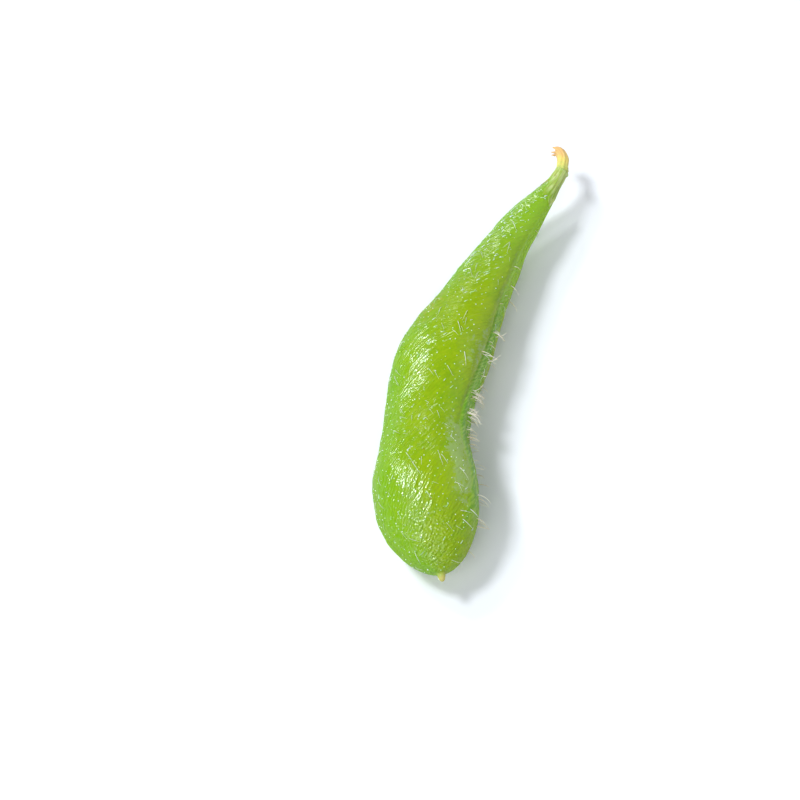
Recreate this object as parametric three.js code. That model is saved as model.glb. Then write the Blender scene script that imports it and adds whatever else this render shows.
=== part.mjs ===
// One fresh edamame pod (green soybean), as picked, lying on its broad side: a plump curved pod that
// swells over its beans, the papery calyx that clasps its neck, and the short hooked stalk that it was
// pulled off by. Millimetres, +Z up. The blunt end with the beak points along -Y, the stalk along +Y,
// and the seam edge faces +X.
import * as THREE from "three";

// Every profile below is a short list of [distance along Y from the blunt end, value], joined by a
// smooth curve.
const POD_LENGTH = 49.3;

// Where the middle of the pod runs: sideways, and above the resting surface.
const MIDDLE_ACROSS = [
  [0, 9.1], [6.3, 5.97], [12, 4.07], [17.5, 2.97], [22, 2.67], [27, 3.27],
  [33.7, 4.45], [37.5, 5.3], [41.3, 6.35], [47.3, 8.45], [49.3, 8.95],
];
const MIDDLE_HEIGHT = [[0, 3.9], [9, 4.14], [22, 3.83], [34, 3.95], [49.3, 4.6]];

// The pod as it would be with no beans in it.
const HALF_WIDTH = [
  [0, 4.6], [8, 4.25], [13, 3.9], [18, 4.2], [25, 3.9], [33, 3.07],
  [38, 2.25], [42, 1.85], [45, 1.2], [47.5, 0.62], [49.3, 0.55],
];
const HALF_THICKNESS = [
  [0, 2.9], [9, 2.9], [23, 2.8], [33, 2.4], [40, 1.75], [45, 1.1], [47.5, 0.7], [49.3, 0.6],
];

// How far the seam edge is turned up towards the top, in degrees.
const ROLL = [[0, -4], [10, -2], [22, 5], [34, 13], [49.3, 15]];

// Each seed swells the pod: its middle along Y, its half length, and what it adds to the half width and half
// thickness. The last one, towards the neck, stayed small.
const BEANS = [
  { along: 9.2, halfLength: 5.2, width: 0.95, thickness: 1.55 },
  { along: 24.2, halfLength: 5.6, width: 0.65, thickness: 1.3 },
  { along: 35.5, halfLength: 3.2, width: 0.1, thickness: 0.35 },
];

const BLUNT_END = 6.2; // length over which the beak end rounds off
const BEAK = { length: 0.7, radius: 0.32, foot: 1 }; // the dried point that stands out of the blunt end
const NECK_END = 1.1; // length over which the neck rounds off inside the calyx
const SQUARENESS = 2.15; // exponent of the section: 2 is an ellipse
const SEAM_STRETCH = 1.07; // how much wider the section would be if the seam edge weren't flat
const SEAM_SOFTNESS = 0.16; // share of the half width over which the cheeks turn into the seam edge

// The calyx reaches further down the pod on the seam side, by `lean`. `sharpness` points its lobes.
const CALYX = { gap: 0.12, wall: 0.26, reach: 2.2, lean: 0.9, lobes: 5, lobeLength: 1, sharpness: 1.5 };

// The stalk's middle line, as [sideways, along, up] from the calyx's end, and its radius at each point.
const STALK_ROUTE = [
  [0, 0, 0], [-0.18, 0.63, 0.05], [-0.4, 1.18, 0.1],
  [-0.75, 1.5, 0.12], [-1.18, 1.68, 0.12], [-1.59, 1.65, 0.1],
];
const STALK_RADII = [0.66, 0.6, 0.56, 0.52, 0.45, 0.41];
const STALK_GAP = 0.15;
const TORN = { prongs: 3, length: 0.3, between: -0.1, hollow: 0.25 };

const POD_STEPS = 76;
const POD_SIDES = 40;
const CLOSER_AT_ENDS = 0.6; // how much the rings crowd towards both ends: 0 is evenly spaced
const CALYX_STEPS = 10;
const CALYX_SIDES = 40;
const STALK_STEPS = 14;
const STALK_SIDES = 18;

// A smooth curve through [position, value] points, with each slope taken from the points on both sides.
function through(points) {
  const last = points.length - 1;
  const slopes = points.map((_, i) => {
    const a = points[Math.max(i - 1, 0)];
    const b = points[Math.min(i + 1, last)];
    return (b[1] - a[1]) / (b[0] - a[0]);
  });
  return (position) => {
    let i = 0;
    while (i < last - 1 && position > points[i + 1][0]) i += 1;
    const span = points[i + 1][0] - points[i][0];
    const t = (position - points[i][0]) / span;
    const rise = t * t * (3 - 2 * t);
    const leave = t * (1 - t) * (1 - t) * span * slopes[i];
    const arrive = t * t * (1 - t) * span * slopes[i + 1];
    return points[i][1] * (1 - rise) + points[i + 1][1] * rise + leave - arrive;
  };
}

const middleAcross = through(MIDDLE_ACROSS);
const middleHeight = through(MIDDLE_HEIGHT);
const emptyHalfWidth = through(HALF_WIDTH);
const emptyHalfThickness = through(HALF_THICKNESS);
const rollDegrees = through(ROLL);

// 0 at the very end, 1 from `length` inwards, round in between.
function roundedEnd(distance, length) {
  const left = THREE.MathUtils.clamp(1 - distance / length, 0, 1);
  return Math.sqrt(1 - left * left);
}

// The smaller of two numbers, with the corner where they meet rounded over `softness`.
function softMin(a, b, softness) {
  const mix = Math.max(softness - Math.abs(a - b), 0) / softness;
  return Math.min(a, b) - (mix * mix * softness) / 4;
}

// Half width and half thickness of the pod at a distance along it.
function sizeAt(along) {
  let width = emptyHalfWidth(along);
  let thickness = emptyHalfThickness(along);
  for (const bean of BEANS) {
    const swell = Math.exp(-(((along - bean.along) / bean.halfLength) ** 2));
    width += bean.width * swell;
    thickness += bean.thickness * swell;
  }
  const body = roundedEnd(along, BLUNT_END) * roundedEnd(POD_LENGTH - along, NECK_END);
  const foot = Math.exp(-((Math.max(along, 0) / BEAK.foot) ** 2));
  const beak = BEAK.radius * roundedEnd(along + BEAK.length, BEAK.length) * foot;
  return [Math.hypot(width * body, beak), Math.hypot(thickness * body, beak)];
}

// The middle line's point at a distance along the pod, with its sideways and upward directions.
function frameAt(along) {
  const step = 0.05; // short enough to give the middle line's direction
  const middle = (a) => new THREE.Vector3(middleAcross(a), a, middleHeight(a));
  const forward = middle(along + step).sub(middle(along - step)).normalize();
  const side = new THREE.Vector3().crossVectors(forward, new THREE.Vector3(0, 0, 1)).normalize();
  const up = new THREE.Vector3().crossVectors(side, forward);
  const roll = -THREE.MathUtils.degToRad(rollDegrees(along));
  side.applyAxisAngle(forward, roll);
  up.applyAxisAngle(forward, roll);
  return { middle: middle(along), side, up };
}

// A point of the pod's skin. The angle is 0 at the seam edge, a quarter turn at the top and a half turn
// at the back edge.
function skinPoint(along, angle) {
  const [halfWidth, halfThickness] = sizeAt(along);
  const c = Math.cos(angle);
  const s = Math.sin(angle);
  const reach = (Math.abs(c) ** SQUARENESS + Math.abs(s) ** SQUARENESS) ** (-1 / SQUARENESS);
  let across = halfWidth * c * reach;
  if (c > 0) across = softMin(across * SEAM_STRETCH, halfWidth, halfWidth * SEAM_SOFTNESS);
  const { middle, side, up } = frameAt(along);
  return middle.addScaledVector(side, across).addScaledVector(up, halfThickness * s * reach);
}

// The same point moved straight out from the skin.
function offsetPoint(along, angle, distance) {
  const step = 0.02; // short enough to give the skin's slope
  const low = Math.min(along, POD_LENGTH - 2 * step);
  const lengthwise = skinPoint(low + step, angle).sub(skinPoint(low - step, angle));
  const round = skinPoint(low, angle + step).sub(skinPoint(low, angle - step));
  const outward = new THREE.Vector3().crossVectors(lengthwise, round).normalize();
  return skinPoint(along, angle).addScaledVector(outward, distance);
}

// A closed skin from rings of points: each ring is joined to the next, and both ends close on a single point.
function closedSkin(firstPole, rings, lastPole) {
  const sides = rings[0].length;
  const points = [firstPole, ...rings.flat(), lastPole];
  const end = points.length - 1;
  const at = (ring, side) => 1 + ring * sides + (side % sides);
  const faces = [];
  for (let k = 0; k < sides; k += 1) {
    faces.push(0, at(0, k), at(0, k + 1));
    faces.push(end, at(rings.length - 1, k + 1), at(rings.length - 1, k));
    for (let ring = 0; ring < rings.length - 1; ring += 1) {
      faces.push(at(ring, k), at(ring + 1, k), at(ring + 1, k + 1));
      faces.push(at(ring, k), at(ring + 1, k + 1), at(ring, k + 1));
    }
  }
  const geometry = new THREE.BufferGeometry().setFromPoints(points);
  geometry.setIndex(faces);
  geometry.computeVertexNormals();
  return geometry;
}

// Spreads steps from 0 to 1 so that they are closer together at both ends.
function easedStep(i, count) {
  return (1 - Math.cos((Math.PI * i) / count)) / 2;
}

function angles(sides) {
  return Array.from({ length: sides }, (_, k) => (2 * Math.PI * k) / sides);
}

// The pod, with its underside pressed flat on the resting surface.
function podGeometry() {
  const settled = (point) => point.setZ(Math.max(point.z, 0));
  const rings = [];
  for (let i = 1; i < POD_STEPS; i += 1) {
    const share = THREE.MathUtils.lerp(i / POD_STEPS, easedStep(i, POD_STEPS), CLOSER_AT_ENDS);
    const along = THREE.MathUtils.lerp(-BEAK.length, POD_LENGTH, share);
    rings.push(angles(POD_SIDES).map((angle) => settled(skinPoint(along, angle))));
  }
  return closedSkin(frameAt(-BEAK.length).middle, rings, frameAt(POD_LENGTH).middle);
}

// Where along the pod the calyx ends at an angle: its margin is drawn out into lobes.
function calyxMargin(angle) {
  const lobe = Math.abs(Math.cos((CALYX.lobes * angle) / 2)) ** CALYX.sharpness;
  const reach = CALYX.reach + CALYX.lobeLength * lobe + CALYX.lean * Math.cos(angle);
  return POD_LENGTH - reach;
}

// The point straight ahead of the neck's end at a distance.
function aheadOfNeck(distance) {
  const end = frameAt(POD_LENGTH).middle;
  const forward = end.clone().sub(frameAt(POD_LENGTH - 0.1).middle).normalize();
  return end.addScaledVector(forward, distance);
}

// The calyx: a thin cup that clasps the neck at a small clearance and closes over its end.
function calyxGeometry() {
  const outer = CALYX.gap + CALYX.wall;
  const layer = (distance, step) =>
    angles(CALYX_SIDES).map((angle) => {
      const margin = calyxMargin(angle);
      return offsetPoint(margin + (POD_LENGTH - margin) * easedStep(step, CALYX_STEPS), angle, distance);
    });
  const steps = Array.from({ length: CALYX_STEPS }, (_, i) => i);
  const inside = steps.map((i) => layer(CALYX.gap, i)).reverse();
  const outside = steps.map((i) => layer(outer, i));
  return closedSkin(aheadOfNeck(CALYX.gap), [...inside, ...outside], aheadOfNeck(outer));
}

// The stalk: a tapered hook whose free end is torn into prongs around a hollow.
function stalkGeometry() {
  const start = aheadOfNeck(CALYX.gap + CALYX.wall + STALK_GAP);
  const route = new THREE.CatmullRomCurve3(STALK_ROUTE.map((p) => new THREE.Vector3(...p).add(start)));
  const radii = through(STALK_RADII.map((radius, i) => [i / (STALK_RADII.length - 1), radius]));
  const ring = (share, torn) => {
    const forward = route.getTangentAt(share);
    const side = new THREE.Vector3().crossVectors(forward, new THREE.Vector3(0, 0, 1)).normalize();
    const up = new THREE.Vector3().crossVectors(side, forward);
    return angles(STALK_SIDES).map((angle) => {
      const prong = torn ? Math.max(TORN.length * Math.cos(TORN.prongs * angle), TORN.between) : 0;
      return route
        .getPointAt(share)
        .addScaledVector(side, radii(share) * Math.cos(angle))
        .addScaledVector(up, radii(share) * Math.sin(angle))
        .addScaledVector(forward, prong);
    });
  };
  const rings = Array.from({ length: STALK_STEPS + 1 }, (_, i) => ring(i / STALK_STEPS, i === STALK_STEPS));
  const hollow = route.getPointAt(1).addScaledVector(route.getTangentAt(1), -TORN.hollow);
  return closedSkin(route.getPointAt(0), rings, hollow);
}

function piece(name, geometry, color, roughness) {
  const mesh = new THREE.Mesh(geometry, new THREE.MeshStandardMaterial({ color, roughness, metalness: 0 }));
  mesh.name = name;
  return mesh;
}

const edamamePod = new THREE.Group();
edamamePod.add(
  piece("pod", podGeometry(), 0x93b81a, 0.35),
  piece("calyx", calyxGeometry(), 0xa9bd5c, 0.6),
  piece("stalk", stalkGeometry(), 0xd9b55a, 0.7),
);

// The origin is the middle of the footprint, on the resting surface.
const box = new THREE.Box3().setFromObject(edamamePod);
edamamePod.position.set(-(box.min.x + box.max.x) / 2, -(box.min.y + box.max.y) / 2, 0);

export default edamamePod;
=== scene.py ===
import math

import bpy
import numpy as np
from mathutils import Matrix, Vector, noise


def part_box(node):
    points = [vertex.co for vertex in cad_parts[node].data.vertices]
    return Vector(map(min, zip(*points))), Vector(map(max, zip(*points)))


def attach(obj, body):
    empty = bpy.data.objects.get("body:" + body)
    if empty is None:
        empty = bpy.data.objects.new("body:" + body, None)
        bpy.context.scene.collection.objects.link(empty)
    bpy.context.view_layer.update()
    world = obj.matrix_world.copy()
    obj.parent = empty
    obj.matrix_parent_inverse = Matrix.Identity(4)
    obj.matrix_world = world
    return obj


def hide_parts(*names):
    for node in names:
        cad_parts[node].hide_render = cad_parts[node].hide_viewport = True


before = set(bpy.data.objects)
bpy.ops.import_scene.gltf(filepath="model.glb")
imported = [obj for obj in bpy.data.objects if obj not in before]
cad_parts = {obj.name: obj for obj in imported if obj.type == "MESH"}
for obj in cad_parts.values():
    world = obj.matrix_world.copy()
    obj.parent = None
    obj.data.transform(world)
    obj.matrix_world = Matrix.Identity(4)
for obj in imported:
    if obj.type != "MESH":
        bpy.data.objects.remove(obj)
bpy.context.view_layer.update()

MM = 0.001
ROOT = "root"

# The pod's profiles, as [along, value]: its middle line, its size without beans and the roll of its seam.
POD_LENGTH = 49.3
MIDDLE_ACROSS = [
    [0, 9.1], [6.3, 5.97], [12, 4.07], [17.5, 2.97], [22, 2.67], [27, 3.27],
    [33.7, 4.45], [37.5, 5.3], [41.3, 6.27], [44.3, 7.28], [47.3, 8.42], [49.3, 8.95],
]
MIDDLE_HEIGHT = [[0, 3.9], [9, 4.14], [22, 3.83], [34, 3.95], [49.3, 4.6]]
HALF_WIDTH = [
    [0, 4.6], [8, 4.25], [13, 3.9], [18, 4.2], [25, 3.9], [33, 3.07],
    [38, 2.25], [42, 1.93], [45, 1.35], [47.5, 0.72], [49.3, 0.6],
]
HALF_THICKNESS = [
    [0, 2.9], [9, 2.9], [23, 2.8], [33, 2.4], [40, 1.75], [45, 1.15], [47.5, 0.72], [49.3, 0.62],
]
ROLL = [[0, 0], [10, 7], [17, 14], [24, 17], [34, 18], [49.3, 18]]
BEANS = [  # along, half length, swelling of the half width and of the half thickness
    (9.2, 5.2, 0.95, 1.55),
    (24.2, 5.6, 0.65, 1.3),
    (35.5, 3.2, 0.1, 0.35),
]
BLUNT_END, BLUNTNESS = 6.2, 1.12
BEAK_LENGTH, BEAK_RADIUS, BEAK_TAPER, BEAK_TIP, BEAK_FOOT = 0.75, 0.45, 0.3, 0.3, 1.0
NECK_END = 1.1
SQUARENESS = 2.15
SEAM_STRETCH = 1.07
SEAM_SOFTNESS = 0.09

# The skin's relief.
LIP_APART, LIP_WIDTH, LIP_HEIGHT = 0.2, 0.11, 0.06  # the two lips on both sides of the seam's line
SEAM_BAND = [[0, 2.3], [10, 2.4], [16, 1.8], [22, 1.05], [30, 0.85], [38, 0.8], [44, 0.6], [49.3, 0.3]]
GROOVE_WIDTH, GROOVE_DEPTH = 0.17, 0.12  # the groove between the seam's downy band and the cheek
BAND_SWELL = 0.05
BACK_RIB_WIDTH, BACK_RIB_HEIGHT = 0.22, 0.13  # the fine rib down the back edge
LUMP_SIZE, LUMP_HEIGHT = 3.2, 0.1
FIBRE_SPACING, FIBRE_LENGTH, FIBRE_HEIGHT = 0.5, 1.2, 0.04  # slanting fibres that show through the wall
FIBRE_SLANT = math.radians(44)

CALYX_REACH, CALYX_TOP, COLLAR_RADIUS = 1.5, -0.2, 0.62
CALYX_LOBES = [  # turn and half spread in degrees, length
    (8, 46, 3.1), (60, 60, 2.9), (135, 36, 1.6), (200, 40, 1.2), (272, 42, 1.5),
]
LOBE_POINT = 1.2  # above 1, a lobe draws in towards its tip
CALYX_WALL, CALYX_GAP, CALYX_SINK = 0.07, 0.03, 0.02
MARGIN_RAGGEDNESS = 0.15
VEINS, VEIN_HEIGHT = 15, 0.025
FREE_LOBE_LIFT, FREE_LOBE_SPREAD = 0.25, 0.3  # the lobe at the seam stands off, over this turn in radians
FLARE_HEIGHT, FLARE_LENGTH = 0.06, 0.08  # the edge round the stalk, its length as a share of the calyx

STALK_ROUTE = [
    [0, 0, 0], [-0.1, 0.85, 0.05], [-0.25, 1.6, 0.1],
    [-0.58, 2.12, 0.12], [-0.95, 2.45, 0.12], [-1.3, 2.43, 0.1],
]
STALK_RADII = [0.6, 0.62, 0.61, 0.6, 0.56, 0.48]
STALK_START = -0.2  # from the pod's end
STALK_COLLAR_HEIGHT = 0.1
STALK_COLLAR_PLACE, STALK_COLLAR_LENGTH = 0.06, 0.05  # as shares of the route
STALK_RIBS, STALK_RIB_HEIGHT, STALK_LUMP_HEIGHT = 9, 0.03, 0.05
TEAR_DEPTH, TEAR_RAGGEDNESS, HOLLOW_RINGS = 0.38, 0.2, 8

# The hairs, as places along the pod and shares of the full number of hairs.
TUFTS_MIDDLE, TUFTS_REACH, LONE_SEAM_HAIRS = 17, 5.5, 0.12
TUFT_SPACING = 0.9  # the noise that gathers the tufts, in waves to the millimetre
FEWEST_IN_TUFTS, MOST_IN_TUFTS = 0.1, 2.1
LONE_STUBS = 0.08  # away from the neck, where most of the stubs are
STUB_CLUSTERING, FEWEST_STUBS, MOST_STUBS = 0.45, 0.25, 1.45

# The pale patches: a painted sheen, the soft light's reflection, on the blunt bean and more thinly
# on the second bean, and a pale film on the neck under the calyx.
SECOND_BEAN_SHEEN, SECOND_BEAN_SHEEN_MIDDLE, SECOND_BEAN_SHEEN_REACH = 0.7, 24, 5.0
NECK_FILM, NECK_FILM_MIDDLE, NECK_FILM_REACH = 0.9, 47, 2.2

# The sizes of the patterns in the materials. The skin's cells are finer than the pebbles, and the wall's
# finest fibres than the wrinkles: both are drawn as coarse as they need to be to show.
PATCH_SIZE, MOTTLE_SIZE, ROUGHNESS_PATCH = 4.5, 0.35, 0.8
FILM_AND_SHEEN_GRAIN, DOWN_SPACING, FRECKLE_SPACING = 0.8, 0.3, 2.6
PEBBLE_SIZE, WRINKLE_SPACING, WRINKLE_STRETCH = 0.22, 0.42, 0.6
VEIN_SPACING, SEPAL_MARK_SIZE = 0.28, 0.6
STALK_PATCH, STALK_FIBRE = 0.5, 0.2
HAIR_TINT_SIZE, FOOT_TINT_SIZE = 2.0, 1.2

# Colours, as sRGB hex values.
POD_YELLOW_GREEN, POD_LEAF_GREEN, POD_PALE = "8EAC00", "7EA400", "A6C012"
# The flank's green is painted shade. The film's green is a painted sheen on the beans and a pale film on the
# neck.
FLANK_SHADE_GREEN, NECK_GREEN, FILM_AND_SHEEN_GREEN = "70AC00", "88C026", "98B462"
SEAM_GREY_GREEN, DOWN_PALE, BARE_SEAM_GREEN = "64A400", "98C040", "94C400"
BEAK_TAN, RUB_TAN, FRECKLE_BROWN = "CFC06C", "B09A30", "8A6410"
SEPAL_PALE, SEPAL_VEIN, SEPAL_CLEAR = "C4D488", "A4BC50", "86B410"
SEPAL_RIM, SEPAL_MARK = "A98048", "9C8438"
STALK_GREEN, STALK_YELLOW, STALK_TAN = "CCD46E", "EDD873", "EDBE78"
SEAM_HAIR_PALE, SEAM_HAIR_TAN = "FFF6E6", "E6D0AC"
CHEEK_HAIR_CLEAR, CHEEK_HAIR_CREAM = "FFFFFA", "F0F4DC"
# The hair feet's near white is a painted glint.
FOOT_GLINT_WHITE, FOOT_GREENISH = "F0FFF6", "C4F0A8"
SURFACE_WHITE, ROOM_WHITE, LAMP_WHITE, PLAIN_WHITE = "F8F9FB", "E4EDFF", "F4F9FF", "FFFFFF"


def through(points):
    """A smooth curve through [position, value] points, as a function of an array of positions."""
    x, y = np.array(points, float).T
    index = np.arange(len(x))
    before, after = np.maximum(index - 1, 0), np.minimum(index + 1, len(x) - 1)
    slope = (y[after] - y[before]) / (x[after] - x[before])

    def value(position):
        i = np.clip(np.searchsorted(x, position) - 1, 0, len(x) - 2)
        span = x[i + 1] - x[i]
        t = (position - x[i]) / span
        rise = t * t * (3 - 2 * t)
        bend = t * (1 - t) * span * ((1 - t) * slope[i] - t * slope[i + 1])
        return y[i] * (1 - rise) + y[i + 1] * rise + bend

    return value


middle_across, middle_height = through(MIDDLE_ACROSS), through(MIDDLE_HEIGHT)
empty_half_width, empty_half_thickness = through(HALF_WIDTH), through(HALF_THICKNESS)
roll_degrees = through(ROLL)


def unit(vectors):
    return vectors / np.linalg.norm(vectors, axis=-1, keepdims=True)


def smooth_step(low, high, values):
    t = np.clip((values - low) / (high - low), 0, 1)
    return t * t * (3 - 2 * t)


def hump(distance, width):
    return np.exp(-((distance / width) ** 2))


def rounded_end(distance, length):
    left = np.clip(1 - distance / length, 0, 1)
    return np.sqrt(1 - left * left)


def pod_size(along):
    """Half width and half thickness of the pod."""
    width, thickness = empty_half_width(along), empty_half_thickness(along)
    for middle, half_length, wider, thicker in BEANS:
        swell = hump(along - middle, half_length)
        width, thickness = width + wider * swell, thickness + thicker * swell
    body = rounded_end(along, BLUNT_END) ** BLUNTNESS * rounded_end(POD_LENGTH - along, NECK_END)
    beak = (BEAK_RADIUS + BEAK_TAPER * np.minimum(along, 0)) * rounded_end(along + BEAK_LENGTH, BEAK_TIP)
    beak = beak * hump(np.maximum(along, 0), BEAK_FOOT)
    return np.hypot(width * body, beak), np.hypot(thickness * body, beak)


def pod_lines(along):
    """The middle line's points, with the directions to the seam edge, the upper cheek and the stalk."""
    def middle(at):
        return np.stack([middle_across(at), at, middle_height(at)], -1)

    step = 0.05
    forward = unit(middle(along + step) - middle(along - step))
    side = unit(np.cross(forward, [0.0, 0.0, 1.0]))
    up = np.cross(side, forward)
    roll = np.radians(roll_degrees(along))[..., None]
    seamward = side * np.cos(roll) + up * np.sin(roll)
    upward = up * np.cos(roll) - side * np.sin(roll)
    return middle(along), seamward, upward, forward


def pod_skin_points(along, turn):
    """Points of the smooth skin, at arrays of distances along the pod and of turns round it."""
    half_width, half_thickness = pod_size(along)
    c, s = np.cos(turn), np.sin(turn)
    reach = (np.abs(c) ** SQUARENESS + np.abs(s) ** SQUARENESS) ** (-1 / SQUARENESS)
    across = half_width * c * reach
    stretched, softness = across * SEAM_STRETCH, half_width * SEAM_SOFTNESS + 1e-6
    blend = np.maximum(softness - np.abs(stretched - half_width), 0) / softness
    flattened = np.minimum(stretched, half_width) - blend * blend * softness / 4
    across = np.where(c > 0, flattened, across)
    middle, seamward, upward, _ = pod_lines(along)
    return middle + seamward * across[..., None] + upward * (half_thickness * s * reach)[..., None]


def skin_normals(along, turn):
    step = 0.02
    lengthwise = pod_skin_points(along + step, turn) - pod_skin_points(along - step, turn)
    roundwise = pod_skin_points(along, turn + step) - pod_skin_points(along, turn - step)
    return unit(np.cross(lengthwise, roundwise))


def noise_at(points, octaves=1):
    """Blender's own smooth noise, about -1 to 1, at an array of points."""
    flat = [noise.fractal(Vector(p), 1.0, 2.0, octaves) for p in points.reshape(-1, 3).tolist()]
    return np.array(flat).reshape(points.shape[:-1])


def grain_place(along, turn):
    """Where a point lies in the grain of the pod's wall: the fibres run along the first axis."""
    stations = np.linspace(-BEAK_LENGTH, POD_LENGTH, 300)
    twist = np.cumsum(math.tan(FIBRE_SLANT) * (stations[1] - stations[0]) / (pod_size(stations)[0] + 1.0))
    slanted = turn + np.interp(along, stations, twist)
    round_about = np.stack([np.cos(slanted), np.sin(slanted)], -1) * pod_size(along)[0][..., None]
    return np.concatenate([(along * FIBRE_SPACING / FIBRE_LENGTH)[..., None], round_about], -1)


def closed_mesh(name, first_pole, rings, last_pole, attributes):
    """An object whose mesh joins rings of points and closes both ends on a pole."""
    count, sides = rings.shape[:2]
    points = np.concatenate([[first_pole], rings.reshape(-1, 3), [last_pole]]) + shift
    ring, side = np.meshgrid(np.arange(count - 1), np.arange(sides), indexing="ij")
    next_side = (side + 1) % sides
    this_ring, next_ring = ring * sides, (ring + 1) * sides
    corners = [this_ring + side, next_ring + side, next_ring + next_side, this_ring + next_side]
    quads = np.stack(corners, -1).reshape(-1, 4) + 1
    around = np.arange(sides)
    beside = (around + 1) % sides
    end, last = len(points) - 1, (count - 1) * sides + 1
    first_cap = np.stack([0 * around, around + 1, beside + 1], -1)
    last_cap = np.stack([0 * around + end, beside + last, around + last], -1)
    mesh = bpy.data.meshes.new(name)
    mesh.from_pydata((points * MM).tolist(), [], quads.tolist() + first_cap.tolist() + last_cap.tolist())
    mesh.shade_smooth()
    for label, values in attributes.items():
        flat = values.reshape(count * sides, -1)
        at_poles = [flat[:sides].mean(0, keepdims=True), flat[-sides:].mean(0, keepdims=True)]
        full = np.concatenate([at_poles[0], flat, at_poles[1]])
        if full.shape[1] == 3:
            mesh.attributes.new(label, "FLOAT_VECTOR", "POINT").data.foreach_set("vector", full.ravel())
        else:
            mesh.attributes.new(label, "FLOAT", "POINT").data.foreach_set("value", full.ravel())
    piece = bpy.data.objects.new(name, mesh)
    bpy.context.scene.collection.objects.link(piece)
    return piece


def eased(count, share=0.6):
    """Steps from 0 to 1 that crowd a little towards both ends."""
    even = np.linspace(0, 1, count)
    return (1 - share) * even + share * (1 - np.cos(np.pi * even)) / 2


# The grid of points on the pod's skin, which the CAD pod's box places in the frame: both share its middle.
POD_RINGS, POD_SIDES = 420, 222
SEAM_CROWDING = 0.42  # how much closer together the mesh's lines are at the seam than at the back
even_turn = np.arange(POD_SIDES) * 2 * np.pi / POD_SIDES
pod_turns = even_turn - SEAM_CROWDING * np.sin(even_turn)
pod_stations = -BEAK_LENGTH + (POD_LENGTH + BEAK_LENGTH) * eased(POD_RINGS + 2)[1:-1]
pod_along, pod_turn = np.meshgrid(pod_stations, pod_turns, indexing="ij")
smooth_skin = pod_skin_points(pod_along, pod_turn)
box_low, box_high = (np.array(corner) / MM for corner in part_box("pod"))
own_low, own_high = smooth_skin.min((0, 1)), smooth_skin.max((0, 1))
shift = ((box_low + box_high) - (own_low + own_high)) / 2 * [1, 1, 0]


def add(tree, kind, inputs=None, **settings):
    """Adds a node. Each input is a value, a node, or a pair of a node and the name of its output."""
    new = tree.nodes.new(kind)
    for name, value in settings.items():
        setattr(new, name, value)
    for name, value in (inputs or {}).items():
        if isinstance(name, int):
            socket = new.inputs[name]
        else:
            socket = next(s for s in new.inputs if s.enabled and s.name == name)
        if isinstance(value, bpy.types.Node):
            value = (value, None)
        if isinstance(value, tuple) and isinstance(value[0], bpy.types.Node):
            source, output = value
            out = next(s for s in source.outputs if s.enabled and output in (None, s.name))
            tree.links.new(out, socket)
        else:
            socket.default_value = value
    return new


def colour(code):
    """An sRGB hex value as linear red, green, blue and alpha."""
    channels = [int(code[i:i + 2], 16) / 255 for i in (0, 2, 4)]
    return tuple(c / 12.92 if c <= 0.04045 else ((c + 0.055) / 1.055) ** 2.4 for c in channels) + (1.0,)


def new_material(name, **constants):
    """A material with its Principled shader, whose constant sockets are given by name."""
    material = bpy.data.materials.new(name)
    material.use_nodes = True
    shader = material.node_tree.nodes["Principled BSDF"]
    for socket, value in constants.items():
        shader.inputs[socket.replace("_", " ")].default_value = value
    return material, material.node_tree, shader


def millimetre_place(tree):
    """Object coordinates in millimetres."""
    coordinates = (add(tree, "ShaderNodeTexCoord"), "Object")
    return add(tree, "ShaderNodeVectorMath", {0: coordinates, "Scale": 1 / MM}, operation="SCALE")


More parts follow.
